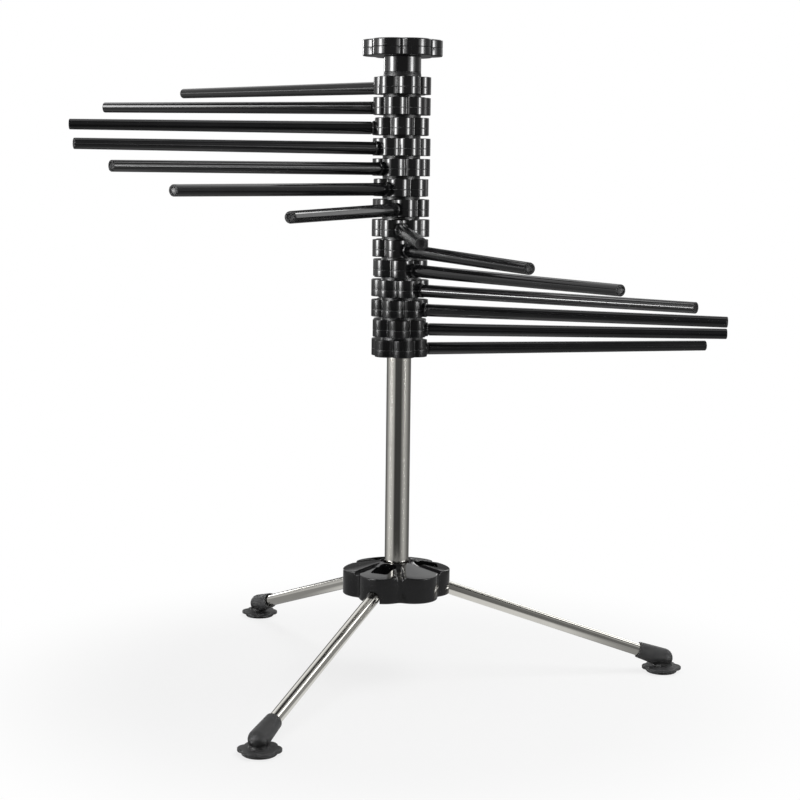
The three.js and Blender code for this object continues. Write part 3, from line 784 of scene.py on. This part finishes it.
def handling_group():
    """Soft smears that hands leave on a glossy surface, as a mask."""
    group, entry, result = new_group(
        "handling",
        [("Place", "NodeSocketVector", None), ("Size", "NodeSocketFloat", 90.0)],
        ["Smear"],
    )
    smear = add_node(group, "ShaderNodeTexNoise", "smear",
                     inputs={"Detail": 5.0, "Roughness": 0.6, "Distortion": 0.9})
    patch = add_node(group, "ShaderNodeMapRange", "patch", inputs={"From Min": 0.5, "From Max": 0.78})
    link = group.links.new
    link(entry.outputs["Place"], smear.inputs["Vector"])
    link(entry.outputs["Size"], smear.inputs["Scale"])
    link(smear.outputs["Fac"], patch.inputs["Value"])
    link(patch.outputs["Result"], result.inputs["Smear"])
    return group


def drawn_lines_group():
    """Fine lines along the piece's own Z, as the drawing of a tube or rod leaves them."""
    group, entry, result = new_group(
        "drawn_lines",
        [("Place", "NodeSocketVector", None), ("Fineness", "NodeSocketFloat", 2500.0)],
        ["Height", "Streak"],
    )
    stretch = add_node(group, "ShaderNodeMapping", "stretch", inputs={"Scale": (1.0, 1.0, 0.012)})
    lines = add_node(group, "ShaderNodeTexNoise", "lines", inputs={"Detail": 2.0, "Roughness": 0.6})
    contrast = add_node(group, "ShaderNodeMapRange", "contrast", inputs={"From Min": 0.35, "From Max": 0.68})
    link = group.links.new
    link(entry.outputs["Place"], stretch.inputs["Vector"])
    link(stretch.outputs["Vector"], lines.inputs["Vector"])
    link(entry.outputs["Fineness"], lines.inputs["Scale"])
    link(lines.outputs["Fac"], contrast.inputs["Value"])
    link(lines.outputs["Fac"], result.inputs["Height"])
    link(contrast.outputs["Result"], result.inputs["Streak"])
    return group


GROUPS = {"skin": moulded_skin_group(), "handling": handling_group(), "lines": drawn_lines_group()}


def new_material(name, own_place):
    """An empty material, its shader and the coordinates that its patterns follow."""
    material = bpy.data.materials.new(name)
    material.use_nodes = True
    tree = material.node_tree
    tree.nodes.clear()
    output = add_node(tree, "ShaderNodeOutputMaterial", "output")
    shader = add_node(tree, "ShaderNodeBsdfPrincipled", "surface")
    tree.links.new(shader.outputs["BSDF"], output.inputs["Surface"])
    if own_place:
        place = add_node(tree, "ShaderNodeAttribute", "own place", {"attribute_name": "own_place"})
        return material, tree, shader, place.outputs["Vector"]
    place = add_node(tree, "ShaderNodeTexCoord", "place")
    return material, tree, shader, place.outputs["Object"]


def add_group(tree, key, place, **inputs):
    node = add_node(tree, "ShaderNodeGroup", key, {"node_tree": GROUPS[key]})
    for label, value in inputs.items():
        node.inputs[label].default_value = value
    tree.links.new(place, node.inputs["Place"])
    return node


def shade_between(tree, mask, dark, light, target):
    """Feeds a colour between dark and light, set by a mask, into a colour socket."""
    mix = add_node(tree, "ShaderNodeMix", "tone", {"data_type": "RGBA"})
    mix.inputs["A"].default_value = (*dark, 1.0)
    mix.inputs["B"].default_value = (*light, 1.0)
    tree.links.new(mask, mix.inputs["Factor"])
    tree.links.new(mix.outputs["Result"], target)


def range_between(tree, mask, low, high, target):
    """Feeds a number between low and high, set by a mask, into a socket."""
    span = add_node(tree, "ShaderNodeMapRange", "range", inputs={"To Min": low, "To Max": high})
    tree.links.new(mask, span.inputs["Value"])
    tree.links.new(span.outputs["Result"], target)


def smooth_step(tree, value, start, end):
    """A number that eases from 0 at start to 1 at end."""
    step = add_node(tree, "ShaderNodeMapRange", "ease", {"interpolation_type": "SMOOTHSTEP"},
                    {"From Min": start, "From Max": end})
    tree.links.new(value, step.inputs["Value"])
    return step.outputs["Result"]


def combine(tree, operation, first, second):
    """The result of a sum on two sockets, or on a socket and a number."""
    node = add_node(tree, "ShaderNodeMath", operation.lower(), {"operation": operation})
    for socket, value in zip(node.inputs, (first, second)):
        if isinstance(value, float):
            socket.default_value = value
        else:
            tree.links.new(value, socket)
    return node.outputs["Value"]


def between(tree, value, low, high, ease):
    """A mask that is 1 from low to high and eases to 0 on either side."""
    rise = smooth_step(tree, value, low - ease, low)
    fall = smooth_step(tree, value, high + ease, high)
    return combine(tree, "MULTIPLY", rise, fall)


def bump(tree, height, distance, strength, shader):
    node = add_node(tree, "ShaderNodeBump", "relief", inputs={"Strength": strength, "Distance": distance})
    tree.links.new(height, node.inputs["Height"])
    tree.links.new(node.outputs["Normal"], shader.inputs["Normal"])


def gloss_black():
    """Glossy black moulding of the rings, arms and knob."""
    material, tree, shader, place = new_material("gloss_black", True)
    skin = add_group(tree, "skin", place, Grain=620.0, Clouds=70.0)
    smears = add_group(tree, "handling", place, Size=85.0)
    shade_between(tree, skin.outputs["Tone"], (0.0075, 0.0075, 0.0082), (0.0125, 0.0125, 0.0135),
                  shader.inputs["Base Color"])
    along = add_node(tree, "ShaderNodeSeparateXYZ", "along the piece")
    tree.links.new(place, along.inputs["Vector"])
    height = along.outputs["Z"]
    cut_end = smooth_step(tree, height, ARM_REACH - CUT_END[0], ARM_REACH - CUT_END[1])
    seam = between(tree, height, -ARM_DROP - PARTING_WIDTH, -ARM_DROP + PARTING_WIDTH, PARTING_EASE)
    neck = between(tree, height, RING_HALF + NECK_GAP, NECK_TOP, PARTING_EASE)
    matt = combine(tree, "MULTIPLY", combine(tree, "MAXIMUM", neck, seam), PARTING_MATT)
    matt = combine(tree, "ADD", matt, combine(tree, "MULTIPLY", cut_end, CUT_END_MATT))
    gloss = add_node(tree, "ShaderNodeMapRange", "gloss", inputs={"To Min": 0.11, "To Max": 0.21})
    tree.links.new(smears.outputs["Smear"], gloss.inputs["Value"])
    tree.links.new(combine(tree, "ADD", gloss.outputs["Result"], matt), shader.inputs["Roughness"])
    bump(tree, skin.outputs["Height"], 0.00003, 0.03, shader)
    shader.inputs["IOR"].default_value = 1.54
    return material


def satin_black():
    """Smooth black moulding of the hub and its cover."""
    material, tree, shader, place = new_material("satin_black", False)
    skin = add_group(tree, "skin", place, Grain=1500.0, Clouds=45.0)
    smears = add_group(tree, "handling", place, Size=60.0)
    shade_between(tree, skin.outputs["Tone"], (0.0085, 0.0085, 0.009), (0.014, 0.014, 0.0148),
                  shader.inputs["Base Color"])
    range_between(tree, smears.outputs["Smear"], 0.1, 0.17, shader.inputs["Roughness"])
    bump(tree, skin.outputs["Height"], 0.00003, 0.1, shader)
    shader.inputs["IOR"].default_value = 1.52
    return material


def foot_rubber():
    """Matt dark grey rubber of the feet, with painted shade: near black on the sole under the flange and
    darker around the ankle.
    """
    material, tree, shader, place = new_material("foot_rubber", True)
    skin = add_group(tree, "skin", place, Grain=2600.0, Clouds=160.0)
    parts = add_node(tree, "ShaderNodeSeparateXYZ", "place on the foot")
    tree.links.new(place, parts.inputs["Vector"])
    height = parts.outputs["Z"]
    # Painted shade: darkens the colour of the sole under the flange and of the ankle above the pad, where
    # shade falls
    sole = smooth_step(tree, height, PAD_LIFT + SOLE_EASE, PAD_LIFT - SOLE_EASE)
    above_pad = smooth_step(tree, height, PAD_THICKNESS, PAD_THICKNESS + ANKLE_SHADE_RISE)
    below_bend = smooth_step(tree, height, ANKLE_SHADE[1], ANKLE_SHADE[0])
    outer = smooth_step(tree, parts.outputs["X"], *ANKLE_SHADE_OUT)
    ankle = combine(tree, "MULTIPLY", combine(tree, "MULTIPLY", above_pad, below_bend), outer)
    sole_painted_shade = combine(tree, "MULTIPLY", sole, SOLE_PAINTED_SHADE)
    ankle_painted_shade = combine(tree, "MULTIPLY", ankle, ANKLE_PAINTED_SHADE)
    dark = combine(tree, "ADD", sole_painted_shade, ankle_painted_shade)
    tone = combine(tree, "SUBTRACT", skin.outputs["Tone"], dark)
    span = add_node(tree, "ShaderNodeMapRange", "sole to upper", inputs={"From Min": -3.0, "From Max": 1.0})
    tree.links.new(tone, span.inputs["Value"])
    shade_between(tree, span.outputs["Result"], (0.006, 0.006, 0.006), (0.058, 0.058, 0.059),
                  shader.inputs["Base Color"])
    range_between(tree, skin.outputs["Tone"], 0.5, 0.62, shader.inputs["Roughness"])
    bump(tree, skin.outputs["Height"], 0.00008, 0.5, shader)
    shader.inputs["IOR"].default_value = 1.5
    return material


def polished_steel():
    """Polished stainless tube of the pole and the legs."""
    material, tree, shader, place = new_material("polished_steel", True)
    lines = add_group(tree, "lines", place, Fineness=2600.0)
    smears = add_group(tree, "handling", place, Size=38.0)
    shade_between(tree, smears.outputs["Smear"], (0.66, 0.645, 0.6), (0.6, 0.585, 0.545),
                  shader.inputs["Base Color"])
    range_between(tree, lines.outputs["Streak"], 0.06, 0.14, shader.inputs["Roughness"])
    bump(tree, lines.outputs["Height"], 0.00001, 0.12, shader)
    shader.inputs["Metallic"].default_value = 1.0
    return material


def zinc_steel():
    """Plain plated steel of the screw, washer, pins and clip."""
    material, tree, shader, place = new_material("zinc_steel", False)
    lines = add_group(tree, "lines", place, Fineness=1800.0)
    shade_between(tree, lines.outputs["Streak"], (0.42, 0.43, 0.44), (0.52, 0.53, 0.54),
                  shader.inputs["Base Color"])
    range_between(tree, lines.outputs["Streak"], 0.28, 0.4, shader.inputs["Roughness"])
    shader.inputs["Metallic"].default_value = 1.0
    return material


def black_nylon():
    """Plain black nylon of the plugs, knuckles and washer."""
    material, tree, shader, place = new_material("black_nylon", False)
    skin = add_group(tree, "skin", place, Grain=2000.0, Clouds=120.0)
    shade_between(tree, skin.outputs["Tone"], (0.014, 0.014, 0.015), (0.022, 0.022, 0.023),
                  shader.inputs["Base Color"])
    range_between(tree, skin.outputs["Tone"], 0.4, 0.5, shader.inputs["Roughness"])
    bump(tree, skin.outputs["Height"], 0.00004, 0.4, shader)
    return material


# Assembly
def dress_stack(material):
    ring = ring_shape()
    rod = rod_shape()
    lay = Matrix.Translation((0, 0, -ARM_DROP)) @ Matrix.Rotation(math.pi / 2, 4, "Y")
    for number, azimuth in enumerate(ARM_AZIMUTHS, start=1):
        label = f"{number:02d}"
        low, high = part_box(f"arm_ring_{label}")
        place = at_pole(low.z + RING_HALF, azimuth)
        shift = (ARM_PATTERN_STEP * number, 0, 0)
        dress(f"ring_{label}", ring.copy(), place, f"arm_{label}", material, "black_plastic",
              f"arm_ring_{label}", shift=shift)
        dress(f"rod_{label}", rod.copy(), place @ lay, f"arm_{label}", material, "black_plastic",
              f"arm_rod_{label}", shift=shift)


def dress_legs(steel, rubber, nylon):
    tube = tube_shape(LEG_RADIUS, LEG_INNER, SHANK, TUBE_END)
    knuckle = knuckle_shape()
    foot = foot_shape()
    lay = Matrix.Rotation(math.pi / 2, 4, "Y")
    for number, azimuth in enumerate(LEG_AZIMUTHS, start=1):
        body = f"leg_{number}"
        shift = (0, LEG_PATTERN_STEP * number, 0)
        place = leg_place(azimuth)
        dress(f"tube_of_leg_{number}", tube.copy(), place @ lay, body, steel, "polished_steel",
              f"leg_tube_{number}", shift=shift)
        dress(f"knuckle_of_leg_{number}", knuckle.copy(), place, body, nylon, "nylon",
              f"leg_knuckle_{number}", shift=shift)
        stand = at_pole(0, azimuth) @ Matrix.Translation((BEND_RADIUS_AT, 0, 0))
        dress(f"foot_of_leg_{number}", foot.copy(), stand, body, rubber, "foot_rubber",
              f"foot_boot_{number}", shift=shift)


def dress_kept_nodes(finishes):
    for node, material in finishes.items():
        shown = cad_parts[node]
        shown.data.materials.clear()
        shown.data.materials.append(material)


def dress_rack():
    black = gloss_black()
    satin = satin_black()
    rubber = foot_rubber()
    steel = polished_steel()
    zinc = zinc_steel()
    nylon = black_nylon()
    dress_stack(black)
    dress_legs(steel, rubber, nylon)
    dress("top_knob", knob_shape(), at_pole(0, KNOB_VALLEY_AZIMUTH), "knob", black, "black_plastic", "knob",
          shift=(0, 0, -2 * HEAD_TOP))
    dress("washer_under_knob", washer_shape(), at_pole(), "clamp", nylon, "nylon", "clamp_washer")
    pole = tube_shape(POLE_RADIUS, POLE_INNER, pole_low.z, pole_high.z)
    dress("pole", pole, at_pole(), "stand", steel, "polished_steel", "pole_tube")
    dress("hub", hub_shape(), at_pole(), "stand", satin, "hub_plastic", "hub_body")
    kept = {"hub_cover": satin}
    plated = ["hub_washer", "hub_screw", "stack_retainer", "knob_stud"]
    plated += [f"leg_pin_{number}" for number in (1, 2, 3)]
    kept.update({node: zinc for node in plated})
    kept.update({"pole_top_insert": nylon, "pole_bottom_insert": nylon})
    dress_kept_nodes(kept)


# Studio
def aim(item, target):
    item.rotation_euler = (Vector(target) - item.location).to_track_quat("-Z", "Y").to_euler()


def studio_lamp():
    """A soft box above the rack's right for the matt surfaces. Gloss sees the room instead."""
    lamp = bpy.data.lights.new("overhead", "AREA")
    lamp.shape = "RECTANGLE"
    lamp.size, lamp.size_y = LAMP_SIZE
    lamp.energy = LAMP_ENERGY
    item = bpy.data.objects.new("overhead", lamp)
    item.location = LAMP_PLACE
    item.visible_glossy = False
    aim(item, LAMP_TARGET)
    bpy.context.scene.collection.objects.link(item)


def levels_around(tree, around, levels):
    """A brightness that follows the direction around the rack."""
    ramp = add_node(tree, "ShaderNodeValToRGB", "levels by direction")
    stops = ramp.color_ramp.elements
    while len(stops) < len(levels):
        stops.new(0.5)
    for stop, (degrees, level) in zip(stops, levels):
        stop.position = degrees / 360 + 0.5
        stop.color = (level, level, level, 1)
    tree.links.new(around, ramp.inputs["Fac"])
    return ramp.outputs["Color"]


def soft_light(tree, turn, height, light):
    """The brightness that one light of the room adds, over its soft-edged patch of directions."""
    first, last = light["around"]
    low, high = light["heights"]
    ease_around, ease_height = light["ease"]
    wide = between(tree, turn, first / 360, last / 360, ease_around / 360)
    tall = between(tree, height, low, high, ease_height)
    return combine(tree, "MULTIPLY", combine(tree, "MULTIPLY", wide, tall), light["level"])


def room_shade(tree):
    """How bright the studio is in each direction: its walls, a paler back, the ceiling and the lights."""
    direction = add_node(tree, "ShaderNodeTexCoord", "direction").outputs["Generated"]
    parts = add_node(tree, "ShaderNodeSeparateXYZ", "parts")
    tree.links.new(direction, parts.inputs["Vector"])
    height = parts.outputs["Z"]
    ahead = combine(tree, "MULTIPLY", parts.outputs["Y"], -1.0)
    turn = combine(tree, "DIVIDE", combine(tree, "ARCTAN2", parts.outputs["X"], ahead), math.tau)
    around = combine(tree, "ADD", turn, 0.5)
    walls = add_node(tree, "ShaderNodeMix", "high or low walls", {"data_type": "FLOAT"})
    lower = smooth_step(tree, height, WALL_BREAK + WALL_BREAK_EASE, WALL_BREAK - WALL_BREAK_EASE)
    tree.links.new(lower, walls.inputs["Factor"])
    tree.links.new(levels_around(tree, around, WALLS_HIGH), walls.inputs["A"])
    tree.links.new(levels_around(tree, around, WALLS_LOW), walls.inputs["B"])
    below = smooth_step(tree, height, *WALL_TOP)
    shade = combine(tree, "MULTIPLY", walls.outputs["Result"], below)
    shade = combine(tree, "ADD", shade, ROOM_LEVEL)
    behind = combine(tree, "MULTIPLY", smooth_step(tree, parts.outputs["Y"], *BACK_DEPTHS), below)
    glow = combine(tree, "MULTIPLY", behind, smooth_step(tree, height, *BACK_HEIGHTS))
    shade = combine(tree, "ADD", shade, combine(tree, "MULTIPLY", glow, BACK_LEVEL))
    zenith = smooth_step(tree, height, *ZENITH_HEIGHTS)
    shade = combine(tree, "ADD", shade, combine(tree, "MULTIPLY", zenith, ZENITH_LEVEL))
    for light in ROOM_LIGHTS.values():
        shade = combine(tree, "ADD", shade, soft_light(tree, turn, height, light))
    return shade


def studio_world():
    """White to the camera, an even fill for matt surfaces, and the room for gloss."""
    world = bpy.data.worlds.new("studio")
    bpy.context.scene.world = world
    world.use_nodes = True
    tree = world.node_tree
    tree.nodes.clear()
    output = add_node(tree, "ShaderNodeOutputWorld", "output")
    rays = add_node(tree, "ShaderNodeLightPath", "rays")
    fill = add_node(tree, "ShaderNodeBackground", "fill", inputs={"Color": WHITE, "Strength": FILL_LEVEL})
    white = add_node(tree, "ShaderNodeBackground", "white", inputs={"Color": WHITE, "Strength": 1.0})
    room = add_node(tree, "ShaderNodeBackground", "room", inputs={"Color": WHITE})
    first = add_node(tree, "ShaderNodeMixShader", "gloss sees the room")
    second = add_node(tree, "ShaderNodeMixShader", "camera sees white")
    glossy = combine(tree, "MAXIMUM", rays.outputs["Is Glossy Ray"], rays.outputs["Is Transmission Ray"])
    link = tree.links.new
    link(room_shade(tree), room.inputs["Strength"])
    link(glossy, first.inputs["Fac"])
    link(fill.outputs["Background"], first.inputs[1])
    link(room.outputs["Background"], first.inputs[2])
    link(rays.outputs["Is Camera Ray"], second.inputs["Fac"])
    link(first.outputs["Shader"], second.inputs[1])
    link(white.outputs["Background"], second.inputs[2])
    link(second.outputs["Shader"], output.inputs["Surface"])


def studio_floor():
    """A pale floor with the rack's soft shadow that fades to white. For glossy rays it glows as a painted
    pool of light around the rack.
    """
    mesh = bmesh.new()
    bmesh.ops.create_circle(mesh, cap_ends=True, segments=FLOOR_STEPS, radius=FLOOR_RADIUS)
    data = bpy.data.meshes.new("floor")
    mesh.to_mesh(data)
    mesh.free()
    material = bpy.data.materials.new("pale_floor")
    material.use_nodes = True
    tree = material.node_tree
    tree.nodes.clear()
    output = add_node(tree, "ShaderNodeOutputMaterial", "output")
    rays = add_node(tree, "ShaderNodeLightPath", "rays")
    grey = (FLOOR_TONE, FLOOR_TONE, FLOOR_TONE, 1)
    matt = add_node(tree, "ShaderNodeBsdfDiffuse", "matt", inputs={"Color": grey})
    glow = add_node(tree, "ShaderNodeEmission", "white", inputs={"Color": WHITE})
    place = add_node(tree, "ShaderNodeTexCoord", "place")
    reach = add_node(tree, "ShaderNodeVectorMath", "distance from the rack", {"operation": "LENGTH"})
    fade = add_node(tree, "ShaderNodeMapRange", "fade to white", {"interpolation_type": "SMOOTHSTEP"},
                    {"From Min": FLOOR_FADE[0], "From Max": FLOOR_FADE[1],
                     "To Min": FLOOR_WHITE[0], "To Max": FLOOR_WHITE[1]})
    share = add_node(tree, "ShaderNodeMath", "white share", {"operation": "MULTIPLY"})
    mix = add_node(tree, "ShaderNodeMixShader", "pale")
    link = tree.links.new
    link(place.outputs["Object"], reach.inputs[0])
    link(reach.outputs["Value"], fade.inputs["Value"])
    link(rays.outputs["Is Camera Ray"], share.inputs[0])
    link(fade.outputs["Result"], share.inputs[1])
    # Painted pool of light: glossy rays see the floor glow, brighter near the rack and dimmer further out
    pool = smooth_step(tree, reach.outputs["Value"], *POOL)
    level = add_node(tree, "ShaderNodeMapRange", "pool of light",
                     inputs={"To Min": POOL_LEVELS[0], "To Max": POOL_LEVELS[1]})
    link(pool, level.inputs["Value"])
    bright = combine(tree, "MAXIMUM", rays.outputs["Is Camera Ray"], level.outputs["Result"])
    link(bright, glow.inputs["Strength"])
    shown = combine(tree, "MAXIMUM", share.outputs["Value"], rays.outputs["Is Glossy Ray"])
    link(shown, mix.inputs["Fac"])
    link(matt.outputs["BSDF"], mix.inputs[1])
    link(glow.outputs["Emission"], mix.inputs[2])
    link(mix.outputs["Shader"], output.inputs["Surface"])
    data.materials.append(material)
    floor = bpy.data.objects.new("floor", data)
    floor.location = (0, 0, cad_box[0][2] - FLOOR_DROP)
    bpy.context.scene.collection.objects.link(floor)


def studio_camera():
    lens = bpy.data.cameras.new("camera")
    lens.lens = CAMERA_LENS
    lens.sensor_width = CAMERA_SENSOR
    lens.clip_start = CAMERA_NEAR
    camera = bpy.data.objects.new("camera", lens)
    place = Matrix.Translation((POLE_X + CAMERA_PLACE[0], POLE_Y + CAMERA_PLACE[1], CAMERA_PLACE[2]))
    pitch = Matrix.Rotation(math.pi / 2 + CAMERA_PITCH, 4, "X")
    roll = Matrix.Rotation(CAMERA_ROLL, 4, "Z")
    camera.matrix_world = place @ Matrix.Rotation(CAMERA_TURN, 4, "Z") @ pitch @ roll
    bpy.context.scene.collection.objects.link(camera)
    bpy.context.scene.camera = camera


dress_rack()
studio_floor()
studio_lamp()
studio_world()
studio_camera()
bpy.context.scene.view_settings.view_transform = "Standard"
